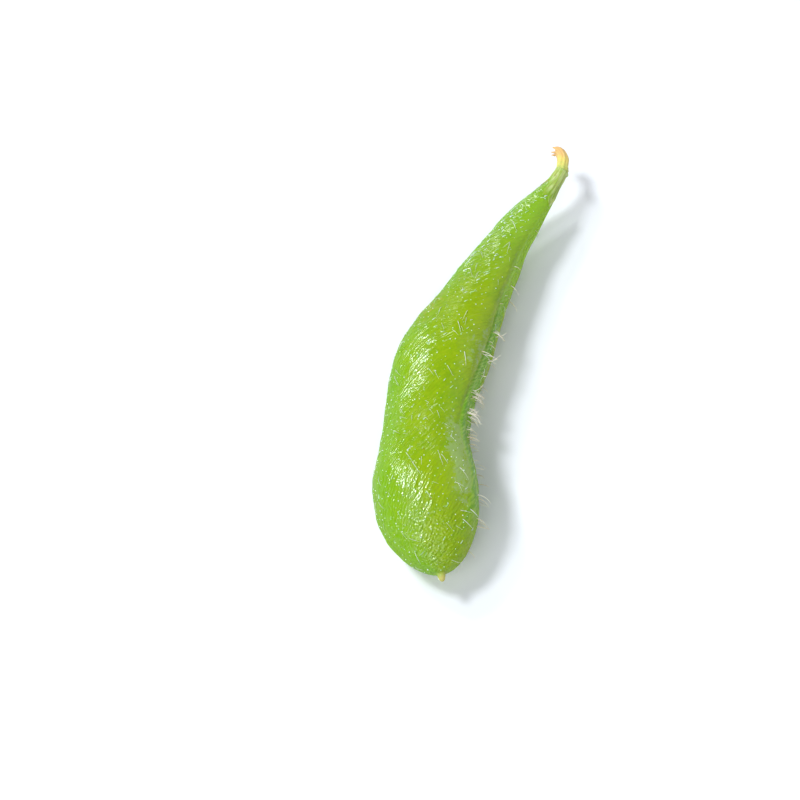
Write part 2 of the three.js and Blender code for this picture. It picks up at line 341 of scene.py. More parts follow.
def pod_wall_material():
    """The living wall of a pod: a waxy, slightly translucent leaf-like skin, wet with its own gloss.

    Leaf wax has an IOR near 1.4. The coat's high IOR at a low weight is matched to the object: it gives
    small white glints without a pale veil over the rest of the skin, and stands for the base's own gloss.
    """
    material, tree, shader = new_material(
        "fresh_pod_wall",
        IOR=1.38,
        Subsurface_Weight=0.2,
        Subsurface_Radius=(0.5, 1.0, 0.1),
        Subsurface_Scale=0.4 * MM,
        Specular_IOR_Level=0.0,
        Coat_Roughness=0.14,
        Coat_IOR=2.2,
    )
    place = add(tree, "ShaderNodeAttribute", attribute_name="place")
    split = add(tree, "ShaderNodeSeparateXYZ", {"Vector": (place, "Vector")})
    along, to_seam = (split, "X"), (split, "Y")
    grain = (add(tree, "ShaderNodeAttribute", attribute_name="grain"), "Vector")
    band = (add(tree, "ShaderNodeAttribute", attribute_name="band"), "Fac")
    film_and_sheen_place = (add(tree, "ShaderNodeAttribute", attribute_name="film_and_sheen"), "Fac")
    where = millimetre_place(tree)
    neck = add(tree, "ShaderNodeMapRange", {"Value": along, "From Min": 29.0, "From Max": 34.0})

    # Soft patches of yellow-green and leaf green.
    patches = add(tree, "ShaderNodeTexNoise", {"Vector": where, "Scale": 1 / PATCH_SIZE, "Detail": 3.0})
    patch_mask = add(tree, "ShaderNodeMapRange", {"Value": patches, "From Min": 0.38, "From Max": 0.68})
    base = add(
        tree, "ShaderNodeMix",
        {"Factor": patch_mask, "A": colour(POD_YELLOW_GREEN), "B": colour(POD_LEAF_GREEN)},
        data_type="RGBA",
    )

    # The fibres of the wall and a fine mottling, a little paler than what lies between them.
    fibres = add(tree, "ShaderNodeTexNoise", {"Vector": grain, "Scale": 1 / FIBRE_SPACING, "Detail": 3.0})
    fibre_mask = add(
        tree, "ShaderNodeMapRange", {"Value": fibres, "From Min": 0.45, "From Max": 0.7, "To Max": 0.3},
    )
    mottles = add(tree, "ShaderNodeTexNoise", {"Vector": where, "Scale": 1 / MOTTLE_SIZE, "Detail": 3.0})
    mottle_mask = add(
        tree, "ShaderNodeMapRange", {"Value": mottles, "From Min": 0.5, "From Max": 0.72, "To Max": 0.35},
    )

    # Painted shade: a darker, greener green towards the back edge.
    # A cooler green on the neck than on the beans.
    painted_flank_shade = add(
        tree, "ShaderNodeMapRange",
        {"Value": to_seam, "From Min": -0.05, "From Max": -0.75, "To Max": 0.65},
    )
    neck_end = add(
        tree, "ShaderNodeMapRange", {"Value": along, "From Min": 32.0, "From Max": 42.0, "To Max": 0.55},
    )

    # Ragged pale patches: a painted sheen, the soft light's reflection, on the beans' seam side,
    # and a thin dull film on the neck under the calyx.
    film_and_sheen = add(
        tree, "ShaderNodeTexNoise",
        {"Vector": where, "Scale": 1 / FILM_AND_SHEEN_GRAIN, "Detail": 8.0, "Roughness": 0.8},
    )
    film_and_sheen = add(tree, "ShaderNodeMath", {0: film_and_sheen_place, 1: 0.32, 2: film_and_sheen}, operation="MULTIPLY_ADD")
    film_and_sheen_mask = add(
        tree, "ShaderNodeMapRange", {"Value": film_and_sheen, "From Min": 0.73, "From Max": 0.79, "To Max": 0.9},
    )

    # The seam's band is grey-green with pale down. On the neck it is bare and deep green.
    down = add(tree, "ShaderNodeTexNoise", {"Vector": grain, "Scale": 1 / DOWN_SPACING, "Detail": 3.0})
    down_mask = add(tree, "ShaderNodeMapRange", {"Value": down, "From Min": 0.42, "From Max": 0.62})
    downy = add(
        tree, "ShaderNodeMix",
        {"Factor": down_mask, "A": colour(SEAM_GREY_GREEN), "B": colour(DOWN_PALE)},
        data_type="RGBA",
    )
    band_colour = add(
        tree, "ShaderNodeMix", {"Factor": neck, "A": downy, "B": colour(BARE_SEAM_GREEN)}, data_type="RGBA",
    )
    band_mask = add(tree, "ShaderNodeMath", {0: band, 1: 0.85}, operation="MULTIPLY")

    # The beak is dry and tan.
    beak = add(
        tree, "ShaderNodeMapRange", {"Value": along, "From Min": 0.1, "From Max": -0.5, "To Max": 0.85},
    )

    # A faint tan rub on the shoulder of the second bean, at its back edge.
    rub_start = add(
        tree, "ShaderNodeMapRange", {"Value": along, "From Min": 24.0, "From Max": 27.0},
        interpolation_type="SMOOTHSTEP",
    )
    rub_end = add(
        tree, "ShaderNodeMapRange", {"Value": along, "From Min": 31.0, "From Max": 28.0},
        interpolation_type="SMOOTHSTEP",
    )
    rub_side = add(tree, "ShaderNodeMapRange", {"Value": to_seam, "From Min": -0.2, "From Max": -0.5})
    rub_spots = add(
        tree, "ShaderNodeMapRange", {"Value": mottles, "From Min": 0.45, "From Max": 0.65, "To Max": 0.55},
    )
    rubbed = rub_start
    for limit in (rub_end, rub_side, rub_spots):
        rubbed = add(tree, "ShaderNodeMath", {0: rubbed, 1: limit}, operation="MULTIPLY")

    # Brown freckles, a quarter of a millimetre across and some millimetres apart.
    freckles = add(tree, "ShaderNodeTexVoronoi", {"Vector": where, "Scale": 1 / FRECKLE_SPACING})
    freckle_mask = add(
        tree, "ShaderNodeMapRange",
        {
            "Value": (freckles, "Distance"), "From Min": 0.03, "From Max": 0.055,
            "To Min": 0.5, "To Max": 0.0,
        },
    )
    for mask, tint in (
        (fibre_mask, colour(POD_PALE)),
        (mottle_mask, colour(POD_PALE)),
        (painted_flank_shade, colour(FLANK_SHADE_GREEN)),
        (neck_end, colour(NECK_GREEN)),
        (film_and_sheen_mask, colour(FILM_AND_SHEEN_GREEN)),
        (band_mask, band_colour),
        (beak, colour(BEAK_TAN)),
        (rubbed, colour(RUB_TAN)),
        (freckle_mask, colour(FRECKLE_BROWN)),
    ):
        base = add(tree, "ShaderNodeMix", {"Factor": mask, "A": base, "B": tint}, data_type="RGBA")
    tree.links.new(base.outputs[2], shader.inputs["Base Color"])

    dull_patches = add(
        tree, "ShaderNodeTexNoise", {"Vector": where, "Scale": 1 / ROUGHNESS_PATCH, "Detail": 2.0},
    )
    dullness = add(tree, "ShaderNodeMapRange", {"Value": dull_patches, "To Min": 0.38, "To Max": 0.52})
    tree.links.new(dullness.outputs[0], shader.inputs["Roughness"])

    # The skin is roughest on the back half, the neck's cheek and the blunt end, not on the seam's band.
    back_half = add(tree, "ShaderNodeMapRange", {"Value": to_seam, "From Min": 0.45, "From Max": -0.2})
    neck_side = add(
        tree, "ShaderNodeMapRange", {"Value": to_seam, "From Min": 0.6, "From Max": 0.2, "To Max": 0.8},
    )
    rough_neck = add(tree, "ShaderNodeMath", {0: neck, 1: neck_side}, operation="MULTIPLY")
    blunt_end = add(
        tree, "ShaderNodeMapRange", {"Value": along, "From Min": 4.5, "From Max": 2.5, "To Max": 0.5},
    )
    bare = add(tree, "ShaderNodeMath", {0: 1.0, 1: band}, operation="SUBTRACT")
    rough_place = add(tree, "ShaderNodeMath", {0: back_half, 1: rough_neck}, operation="MAXIMUM")
    rough_place = add(tree, "ShaderNodeMath", {0: rough_place, 1: blunt_end}, operation="MAXIMUM")
    rough_place = add(tree, "ShaderNodeMath", {0: rough_place, 1: bare}, operation="MULTIPLY")

    # The neck's cheek has the thickest wax, so it is the glossiest.
    waxy = add(tree, "ShaderNodeMapRange", {"Value": to_seam, "From Min": -0.75, "From Max": -0.3})
    waxy = add(tree, "ShaderNodeMath", {0: waxy, 1: rough_neck}, operation="MULTIPLY")
    gloss = add(tree, "ShaderNodeMapRange", {"Value": waxy, "To Min": 0.33, "To Max": 0.85})
    tree.links.new(gloss.outputs[0], shader.inputs["Coat Weight"])

    # Drawn-out pebbles, rounder at the blunt end, and wrinkles on the neck break up the gloss.
    drawn_out = add(
        tree, "ShaderNodeVectorMath", {0: grain, 1: (WRINKLE_STRETCH, 1.0, 1.0)}, operation="MULTIPLY",
    )
    fine = add(tree, "ShaderNodeTexNoise", {"Vector": drawn_out, "Scale": 1 / PEBBLE_SIZE, "Detail": 0.0})
    pebbles = add(tree, "ShaderNodeTexNoise", {"Vector": where, "Scale": 1 / PEBBLE_SIZE, "Detail": 0.0})
    pebbled = add(
        tree, "ShaderNodeMapRange",
        {"Value": along, "From Min": 7.0, "From Max": 3.0, "To Min": 0.28, "To Max": 0.7},
    )
    height = add(tree, "ShaderNodeMath", {0: pebbles, 1: pebbled, 2: fine}, operation="MULTIPLY_ADD")
    wrinkles = add(
        tree, "ShaderNodeTexNoise", {"Vector": drawn_out, "Scale": 1 / WRINKLE_SPACING, "Detail": 1.0},
    )
    wrinkles = add(tree, "ShaderNodeMath", {0: height, 1: 0.35, 2: wrinkles}, operation="MULTIPLY_ADD")
    height = add(tree, "ShaderNodeMix", {"Factor": neck, "A": height, "B": wrinkles})
    strength = add(tree, "ShaderNodeMapRange", {"Value": rough_place, "To Min": 0.5, "To Max": 1.0})
    depth = add(tree, "ShaderNodeMapRange", {"Value": neck, "To Min": 0.12 * MM, "To Max": 0.18 * MM})
    bump = add(tree, "ShaderNodeBump", {"Height": height, "Strength": strength, "Distance": depth})
    tree.links.new(bump.outputs[0], shader.inputs["Normal"])
    tree.links.new(bump.outputs[0], shader.inputs["Coat Normal"])
    return material


def calyx_material():
    """Sepals: thin, papery and dull, pale green with darker veins, and clear at their margins."""
    material, tree, shader = new_material(
        "papery_sepal",
        IOR=1.4,
        Roughness=0.6,
        Specular_IOR_Level=0.3,
        Subsurface_Weight=0.2,
        Subsurface_Scale=0.3 * MM,
    )
    place = add(tree, "ShaderNodeAttribute", attribute_name="place")
    split = add(tree, "ShaderNodeSeparateXYZ", {"Vector": (place, "Vector")})
    from_margin, to_seam = (split, "X"), (split, "Y")
    where = millimetre_place(tree)
    grain = (add(tree, "ShaderNodeAttribute", attribute_name="grain"), "Vector")
    veins = add(tree, "ShaderNodeTexNoise", {"Vector": grain, "Scale": 1 / VEIN_SPACING, "Detail": 3.0})
    vein_mask = add(tree, "ShaderNodeMapRange", {"Value": veins, "From Min": 0.4, "From Max": 0.6})
    base = add(
        tree, "ShaderNodeMix",
        {"Factor": vein_mask, "A": colour(SEPAL_PALE), "B": colour(SEPAL_VEIN)},
        data_type="RGBA",
    )

    # The neck's green shows through the clear margins, except in the lobe that stands off at the seam.
    clear_margin = add(
        tree, "ShaderNodeMapRange",
        {"Value": from_margin, "From Min": 0.34, "From Max": 0.05, "To Max": 0.85},
    )
    hugging = add(tree, "ShaderNodeMapRange", {"Value": to_seam, "From Min": 0.97, "From Max": 0.85})
    clear_margin = add(tree, "ShaderNodeMath", {0: clear_margin, 1: hugging}, operation="MULTIPLY")

    # The rim has dried brown on the back edge, and brown marks lie over the rest.
    rim = add(
        tree, "ShaderNodeMapRange",
        {"Value": from_margin, "From Min": 0.16, "From Max": 0.07, "To Max": 0.8},
    )
    back = add(tree, "ShaderNodeMapRange", {"Value": to_seam, "From Min": -0.3, "From Max": -0.5})
    rim = add(tree, "ShaderNodeMath", {0: rim, 1: back}, operation="MULTIPLY")
    marks = add(tree, "ShaderNodeTexNoise", {"Vector": where, "Scale": 1 / SEPAL_MARK_SIZE, "Detail": 2.0})
    mark_mask = add(
        tree, "ShaderNodeMapRange", {"Value": marks, "From Min": 0.6, "From Max": 0.72, "To Max": 0.4},
    )
    for mask, code in ((clear_margin, SEPAL_CLEAR), (rim, SEPAL_RIM), (mark_mask, SEPAL_MARK)):
        base = add(tree, "ShaderNodeMix", {"Factor": mask, "A": base, "B": colour(code)}, data_type="RGBA")
    tree.links.new(base.outputs[2], shader.inputs["Base Color"])
    bump = add(tree, "ShaderNodeBump", {"Height": veins, "Strength": 0.5, "Distance": 0.1 * MM})
    tree.links.new(bump.outputs[0], shader.inputs["Normal"])
    return material


def stalk_material():
    """A torn green stalk: living green at the calyx, dried to yellow and tan fibres at the tear."""
    material, tree, shader = new_material(
        "torn_stalk_fibre", IOR=1.4, Roughness=0.5, Subsurface_Weight=0.15, Subsurface_Scale=0.3 * MM,
    )
    place = add(tree, "ShaderNodeAttribute", attribute_name="place")
    split = add(tree, "ShaderNodeSeparateXYZ", {"Vector": (place, "Vector")})
    where = millimetre_place(tree)
    patches = add(tree, "ShaderNodeTexNoise", {"Vector": where, "Scale": 1 / STALK_PATCH, "Detail": 3.0})
    drying = add(tree, "ShaderNodeMath", {0: patches, 1: 0.5, 2: (split, "X")}, operation="MULTIPLY_ADD")
    drying_yellow = add(tree, "ShaderNodeMapRange", {"Value": drying, "From Min": 0.3, "From Max": 0.65})
    drying_tan = add(tree, "ShaderNodeMapRange", {"Value": drying, "From Min": 0.65, "From Max": 1.05})
    base = add(
        tree, "ShaderNodeMix",
        {"Factor": drying_yellow, "A": colour(STALK_GREEN), "B": colour(STALK_YELLOW)}, data_type="RGBA",
    )
    base = add(
        tree, "ShaderNodeMix", {"Factor": drying_tan, "A": base, "B": colour(STALK_TAN)}, data_type="RGBA",
    )
    tree.links.new(base.outputs[2], shader.inputs["Base Color"])
    fibres = add(tree, "ShaderNodeTexNoise", {"Vector": where, "Scale": 1 / STALK_FIBRE, "Detail": 2.0})
    bump = add(tree, "ShaderNodeBump", {"Height": fibres, "Strength": 0.6, "Distance": 0.1 * MM})
    tree.links.new(bump.outputs[0], shader.inputs["Normal"])
    return material


def hair_material(name, pale, tan):
    """A plant hair: a single clear cell wall, so it glints pale against the skin."""
    material, tree, shader = new_material(name, IOR=1.5, Roughness=0.35)
    where = millimetre_place(tree)
    tint = add(tree, "ShaderNodeTexNoise", {"Vector": where, "Scale": 1 / HAIR_TINT_SIZE, "Detail": 1.0})
    tint_mask = add(tree, "ShaderNodeMapRange", {"Value": tint, "From Min": 0.4, "From Max": 0.6})
    base = add(
        tree, "ShaderNodeMix", {"Factor": tint_mask, "A": colour(pale), "B": colour(tan)}, data_type="RGBA",
    )
    tree.links.new(base.outputs[2], shader.inputs["Base Color"])
    return material


def painted_glint_material():
    """The swollen foot of a plant hair: a glossy cell painted near white, a painted glint as a pale dot."""
    material, tree, shader = new_material(
        "painted_glint_foot", IOR=1.45, Roughness=0.25, Coat_Weight=0.6, Coat_Roughness=0.1,
    )
    where = millimetre_place(tree)
    tint = add(tree, "ShaderNodeTexNoise", {"Vector": where, "Scale": 1 / FOOT_TINT_SIZE, "Detail": 1.0})
    tint_mask = add(tree, "ShaderNodeMapRange", {"Value": tint, "From Min": 0.42, "From Max": 0.58})
    base = add(
        tree, "ShaderNodeMix",
        {"Factor": tint_mask, "A": colour(FOOT_GLINT_WHITE), "B": colour(FOOT_GREENISH)},
        data_type="RGBA",
    )
    tree.links.new(base.outputs[2], shader.inputs["Base Color"])
    return material


def floor_material():
    """A plain matt white surface."""
    return new_material(
        "matt_white_surface", Roughness=0.6, Base_Color=colour(SURFACE_WHITE), Specular_IOR_Level=0.2,
    )[0]


def finish_piece(piece, material, node):
    """Paints a piece, and lets it ride on the pod's body in place of a CAD node."""
    piece.data.materials.clear()
    piece.data.materials.append(material)
    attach(piece, ROOT)
    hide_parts(node)


def pod_relief(grain, band, from_line, from_band_edge):
    """How far the skin stands off its smooth form: lumps, slanting fibres, seam lips and back rib."""
    seam_side, back_side = np.cos(pod_turn) > 0, np.cos(pod_turn) < 0
    ends = smooth_step(0.5, 4.0, pod_along) * smooth_step(POD_LENGTH, POD_LENGTH - 5, pod_along)
    lips = LIP_HEIGHT * hump(np.abs(from_line) - LIP_APART, LIP_WIDTH)
    groove = GROOVE_DEPTH * hump(from_band_edge, GROOVE_WIDTH) * smooth_step(12.0, 18.0, pod_along)
    groove = groove * smooth_step(33.0, 28.0, pod_along)
    relief = np.where(seam_side, lips - groove + BAND_SWELL * band, 0) * ends
    relief += np.where(back_side, BACK_RIB_HEIGHT * hump(from_line, BACK_RIB_WIDTH), 0) * ends
    relief += LUMP_HEIGHT * noise_at(smooth_skin / LUMP_SIZE, 2) * ends
    wrinkled = 0.3 + 0.7 * smooth_step(0.5, -0.1, np.cos(pod_turn))
    return relief + FIBRE_HEIGHT * noise_at(grain / FIBRE_SPACING, 2) * wrinkled * ends


def hair_places(height):
    """How thickly each kind of hair grows on the skin, whose height over the ground is given."""
    to_seam = np.cos(pod_turn)
    seam_hairs = smooth_step(0.93, 0.985, to_seam) * smooth_step(1.0, 4.0, pod_along)
    seam_hairs *= LONE_SEAM_HAIRS + (1 - LONE_SEAM_HAIRS) * hump(pod_along - TUFTS_MIDDLE, TUFTS_REACH)
    gathered = smooth_step(-0.05, 0.3, noise_at(smooth_skin * [0, TUFT_SPACING, 0]))
    seam_hairs *= FEWEST_IN_TUFTS + (MOST_IN_TUFTS - FEWEST_IN_TUFTS) * gathered
    seam_hairs *= smooth_step(45.0, 40.0, pod_along)
    cheek_hairs = smooth_step(0.4, 2.0, height) * smooth_step(45.0, 41.0, pod_along) * (1 - seam_hairs)
    # The hair feet and the stubs carry painted glints: their material is painted near white.
    hair_feet_and_glints = smooth_step(0.2, 1.0, height) * (1 - smooth_step(0.7, 0.8, to_seam))
    hair_feet_and_glints *= smooth_step(46.5, 45.0, pod_along)
    neck_top = smooth_step(28.0, 33.0, pod_along) * smooth_step(0.75, 0.6, to_seam)
    skin_stubs_and_glints = smooth_step(0.0, 0.4, np.sin(pod_turn)) * (LONE_STUBS + (1 - LONE_STUBS) * neck_top)
    clustered = smooth_step(-0.1, 0.35, noise_at(smooth_skin * STUB_CLUSTERING, 2))
    skin_stubs_and_glints *= FEWEST_STUBS + (MOST_STUBS - FEWEST_STUBS) * clustered
    skin_stubs_and_glints *= smooth_step(47.0, 46.0, pod_along)
    return {
        "seam_hairs": seam_hairs,
        "cheek_hairs": cheek_hairs,
        "skin_stubs_and_glints": skin_stubs_and_glints,
        "hair_feet_and_glints": hair_feet_and_glints,
    }


def film_and_sheen_place():
    """Where the pale patches may lie: a painted sheen on the beans and a dull film on the neck."""
    to_seam = np.cos(pod_turn)
    blunt_bean = smooth_step(2.5, 7.0, pod_along) * smooth_step(18.0, 13.0, pod_along)
    film_and_sheen = blunt_bean * smooth_step(0.34, 0.62, to_seam)
    second_bean = SECOND_BEAN_SHEEN * hump(pod_along - SECOND_BEAN_SHEEN_MIDDLE, SECOND_BEAN_SHEEN_REACH)
    film_and_sheen += second_bean * smooth_step(0.5, 0.75, to_seam)
    return film_and_sheen + NECK_FILM * hump(pod_along - NECK_FILM_MIDDLE, NECK_FILM_REACH)


def make_pod():
    """The pod's skin with its relief, pressed flat below, and what its material and hairs read from it."""
    from_line = np.sin(pod_turn) * pod_size(pod_along)[1]
    from_band_edge = np.abs(from_line) - through(SEAM_BAND)(pod_along)
    band = np.where(np.cos(pod_turn) > 0, smooth_step(0.15, -0.15, from_band_edge), 0)
    band = band * smooth_step(1.0, 6.0, pod_along)
    grain = grain_place(pod_along, pod_turn)
    relief = pod_relief(grain, band, from_line, from_band_edge)
    points = smooth_skin + skin_normals(pod_along, pod_turn) * relief[..., None]
    points[..., 2] = np.maximum(points[..., 2], 0)
    _, seamward, _, forward = pod_lines(pod_along)
    attributes = {
        "place": np.stack([pod_along, np.cos(pod_turn), np.sin(pod_turn)], -1),
        "grain": grain,
        "band": band,
        "film_and_sheen": film_and_sheen_place(),
        "hairward": unit(0.8 * seamward - forward),
        "grainward": unit(0.7 * seamward + forward),
        **hair_places(points[..., 2]),
    }
    first = pod_lines(np.array([-BEAK_LENGTH]))[0][0]
    last = pod_lines(np.array([POD_LENGTH]))[0][0]
    return closed_mesh("pod_skin", first, points, last, attributes)


def turn_from(middle, turn):
    """The turn from a middle, in radians, from minus half a turn to half a turn."""
    return np.angle(np.exp(1j * (turn - middle)))


def make_calyx():
    """The calyx: a thin veined sleeve of joined sepals that hugs the neck, with one lobe standing off."""
    sides, steps = 160, 36
    turn = np.arange(sides) * 2 * np.pi / sides
    reach = CALYX_REACH + 0 * turn
    for middle, spread, length in CALYX_LOBES:
        off_middle = np.abs(turn_from(math.radians(middle), turn)) / math.radians(spread)
        reach += length * np.clip(1 - off_middle, 0, 1) ** LOBE_POINT
    ragged = MARGIN_RAGGEDNESS * noise_at(np.stack([np.cos(turn) * 3, np.sin(turn) * 3, turn * 0], -1), 3)
    margin = POD_LENGTH - reach - ragged
    share = np.linspace(0, 1, steps)[:, None]
    along = margin + (POD_LENGTH + CALYX_TOP - margin) * share
    turns = np.broadcast_to(turn, along.shape)
    middle, seamward, upward, forward = pod_lines(along)
    bare = np.minimum(along, POD_LENGTH - NECK_END)
    radius = np.linalg.norm(pod_skin_points(bare, turns) - pod_lines(bare)[0], axis=-1)
    radius += smooth_step(0, CALYX_TOP + NECK_END, along - bare) * (COLLAR_RADIUS - radius)
    outward = seamward * np.cos(turns)[..., None] + upward * np.sin(turns)[..., None]
    near_margin = np.clip(1 - share * 3, 0, 1) ** 1.5
    free = FREE_LOBE_LIFT * hump(turn_from(0, turns), FREE_LOBE_SPREAD) * near_margin
    veins = VEIN_HEIGHT * np.cos(VEINS * turns) * np.sin(np.pi * np.clip(share + 0.1, 0, 1))
    flare = FLARE_HEIGHT * hump(share - 1, FLARE_LENGTH) * (1 + np.cos(turns))
    lift = CALYX_GAP + free + flare
    wall = CALYX_WALL * np.clip(0.1 + share * 1.5, 0, 1)
    inside = middle + outward * (radius + lift - CALYX_SINK)[..., None]
    outside = middle + outward * (radius + lift + wall + veins)[..., None]
    closing = np.linspace(1, 0.3, 5)[1:, None, None]
    cap = middle[-1] + (outside[-1] - middle[-1]) * closing + forward[-1] * 0.12 * (1 - closing)
    rings = np.concatenate([inside[::-1], outside, cap])
    place = np.stack([share + 0 * turns, np.cos(turns), np.sin(turns)], -1)
    grain = np.stack([along * 0.2, np.cos(turns) * 1.2, np.sin(turns) * 1.2], -1)
    attributes = {
        "place": np.concatenate([place[::-1], place, place[-4:]]),
        "grain": np.concatenate([grain[::-1], grain, grain[-4:]]),
    }
    end, ahead = middle[-1, 0], forward[-1, 0]
    return closed_mesh("calyx_sepals", end - ahead * 0.2, rings, end + ahead * 0.1, attributes)


def smooth_route(points, count):
    """Evenly spaced points and directions along a smooth route."""
    points = np.array(points, float)
    position = np.concatenate([[0], np.cumsum(np.linalg.norm(np.diff(points, axis=0), axis=1))])
    at = np.linspace(0, position[-1], count)
    line = np.stack([through(np.stack([position, points[:, axis]], -1))(at) for axis in range(3)], -1)
    return line, unit(np.gradient(line, axis=0))


def make_stalk():
    """The stalk: a ribbed hook with a collar at the calyx, torn at its end into a crown of fibres."""
    sides, steps = 72, 60
    end, _, _, ahead = (values[0] for values in pod_lines(np.array([POD_LENGTH])))
    line, forward = smooth_route(STALK_ROUTE, steps)
    line = line + end + ahead * STALK_START
    share = np.linspace(0, 1, steps)[:, None]
    turn = np.broadcast_to(np.arange(sides) * 2 * np.pi / sides, (steps, sides))
    radius = through([[i / (len(STALK_RADII) - 1), r] for i, r in enumerate(STALK_RADII)])(share)
    collar = STALK_COLLAR_HEIGHT * hump(share - STALK_COLLAR_PLACE, STALK_COLLAR_LENGTH)
    ribs = STALK_RIB_HEIGHT * np.cos(STALK_RIBS * turn + 2 * share) + STALK_LUMP_HEIGHT * noise_at(
        np.stack([np.cos(turn) * 2, np.sin(turn) * 2, share * 5 + 0 * turn], -1), 3
    )
    side = unit(np.cross(forward, [0.0, 0.0, 1.0]))[:, None]
    up = np.cross(side, forward[:, None])
    round_about = side * np.cos(turn)[..., None] + up * np.sin(turn)[..., None]
    outer = line[:, None] + round_about * (radius + collar + ribs)[..., None]
    torn = TEAR_DEPTH * np.abs(np.cos(2.5 * turn[0])) ** 5 + TEAR_RAGGEDNESS * noise_at(
        np.stack([np.cos(turn[0]) * 4, np.sin(turn[0]) * 4, turn[0] * 0], -1), 2
    )
    outer = outer + forward[:, None] * (torn * share**6)[..., None]
    narrowed = np.linspace(0.35, 0.8, HOLLOW_RINGS)[:, None, None]
    core = line[-HOLLOW_RINGS:, None]
    inner = core + (outer[-HOLLOW_RINGS:] - core) * narrowed
    rings = np.concatenate([outer, inner[::-1]])
    shares = share + 0 * turn
    place = np.concatenate([shares, shares[-HOLLOW_RINGS:][::-1]])
    attributes = {"place": np.stack([place, 0 * place, 0 * place], -1)}
    return closed_mesh("torn_stalk", line[0], rings, line[-HOLLOW_RINGS - 1], attributes)



def grown(name, skin, material, inputs, build):
    """A mesh that geometry nodes grow over a skin. The build function adds what places the instances."""
    tree = bpy.data.node_groups.new(name, "GeometryNodeTree")
    tree.interface.new_socket("Geometry", in_out="INPUT", socket_type="NodeSocketGeometry")
    values = {}
    for label, value in inputs.items():
        kind = "NodeSocketInt" if isinstance(value, int) else "NodeSocketFloat"
        values[tree.interface.new_socket(label, in_out="INPUT", socket_type=kind).identifier] = value
    tree.interface.new_socket("Geometry", in_out="OUTPUT", socket_type="NodeSocketGeometry")
    instances = build(tree, add(tree, "NodeGroupInput"))
    real = add(tree, "GeometryNodeRealizeInstances", {"Geometry": instances})
    painted = add(tree, "GeometryNodeSetMaterial", {"Geometry": real, "Material": material})
    add(tree, "NodeGroupOutput", {"Geometry": painted})

    modifier = skin.modifiers.new(name, "NODES")
    modifier.node_group = tree
    for identifier, value in values.items():
        modifier[identifier] = value
    evaluated = skin.evaluated_get(bpy.context.evaluated_depsgraph_get())
    mesh = bpy.data.meshes.new_from_object(evaluated)
    skin.modifiers.remove(modifier)
    mesh.shade_smooth()
    piece = bpy.data.objects.new(name, mesh)
    bpy.context.scene.collection.objects.link(piece)
    return piece


KNEE_SHARE, TIP_THICKNESS = 0.3, 0.3  # shares of a hair's reach and of its thickness
ROOT_DEPTH = 0.02


def lying_hairs(mask, heading_attribute):
    """Hairs that rise from the skin and bend along a heading, more of them where the mask is high."""
    def build(tree, given):
        density = add(tree, "GeometryNodeInputNamedAttribute", {"Name": mask}, data_type="FLOAT")
        fullest = (given, "Per square metre")
        density = add(tree, "ShaderNodeMath", {0: density, 1: fullest}, operation="MULTIPLY")
        points = add(
            tree, "GeometryNodeDistributePointsOnFaces",
            {"Mesh": (given, "Geometry"), "Density": density, "Seed": (given, "Seed")},
        )
        upright = add(tree, "FunctionNodeAlignRotationToVector", {"Vector": (points, "Normal")}, axis="Z")
        heading = add(
            tree, "GeometryNodeInputNamedAttribute", {"Name": heading_attribute}, data_type="FLOAT_VECTOR",
        )
        stray = add(
            tree, "FunctionNodeRandomValue",
            {0: (-1.0, -1.0, -1.0), 1: (1.0, 1.0, 1.0), "Seed": (given, "Seed")},
            data_type="FLOAT_VECTOR",
        )
        stray = add(tree, "ShaderNodeVectorMath", {0: stray, "Scale": (given, "Spread")}, operation="SCALE")
        heading = add(tree, "ShaderNodeVectorMath", {0: heading, 1: stray}, operation="ADD")
        turned = add(
            tree, "FunctionNodeAlignRotationToVector", {"Rotation": upright, "Vector": heading},
            axis="X", pivot_axis="Z",
        )
        knee_reach = add(tree, "ShaderNodeMath", {0: (given, "Reach"), 1: KNEE_SHARE}, operation="MULTIPLY")
        knee = add(tree, "ShaderNodeCombineXYZ", {"X": knee_reach, "Z": (given, "Rise")})
        tip_rise = add(
            tree, "ShaderNodeMath", {0: (given, "Rise"), 1: (given, "Droop")}, operation="MULTIPLY",
        )
        tip = add(tree, "ShaderNodeCombineXYZ", {"X": (given, "Reach"), "Z": tip_rise})
        curve = add(
            tree, "GeometryNodeCurveQuadraticBezier",
            {"Resolution": 5, "Start": (0.0, 0.0, -ROOT_DEPTH * MM), "Middle": knee, "End": tip},
        )
        up_the_hair = (add(tree, "GeometryNodeSplineParameter"), "Factor")
        taper = add(
            tree, "ShaderNodeMapRange", {"Value": up_the_hair, "To Min": 1.0, "To Max": TIP_THICKNESS},
        )
        half_thickness = add(
            tree, "ShaderNodeMath", {0: (given, "Thickness"), 1: 0.5}, operation="MULTIPLY",
        )
        ring = add(tree, "GeometryNodeCurvePrimitiveCircle", {"Resolution": 3, "Radius": half_thickness})
        hair = add(
            tree, "GeometryNodeCurveToMesh",
            {"Curve": curve, "Profile Curve": (ring, "Curve"), "Scale": taper, "Fill Caps": True},
        )
        scale = add(
            tree, "FunctionNodeRandomValue", {2: (given, "Smallest"), 3: 1.0, "Seed": (given, "Seed")},
            data_type="FLOAT",
        )
        return add(
            tree, "GeometryNodeInstanceOnPoints",
            {"Points": (points, "Points"), "Instance": hair, "Rotation": turned, "Scale": scale},
        )

    return build


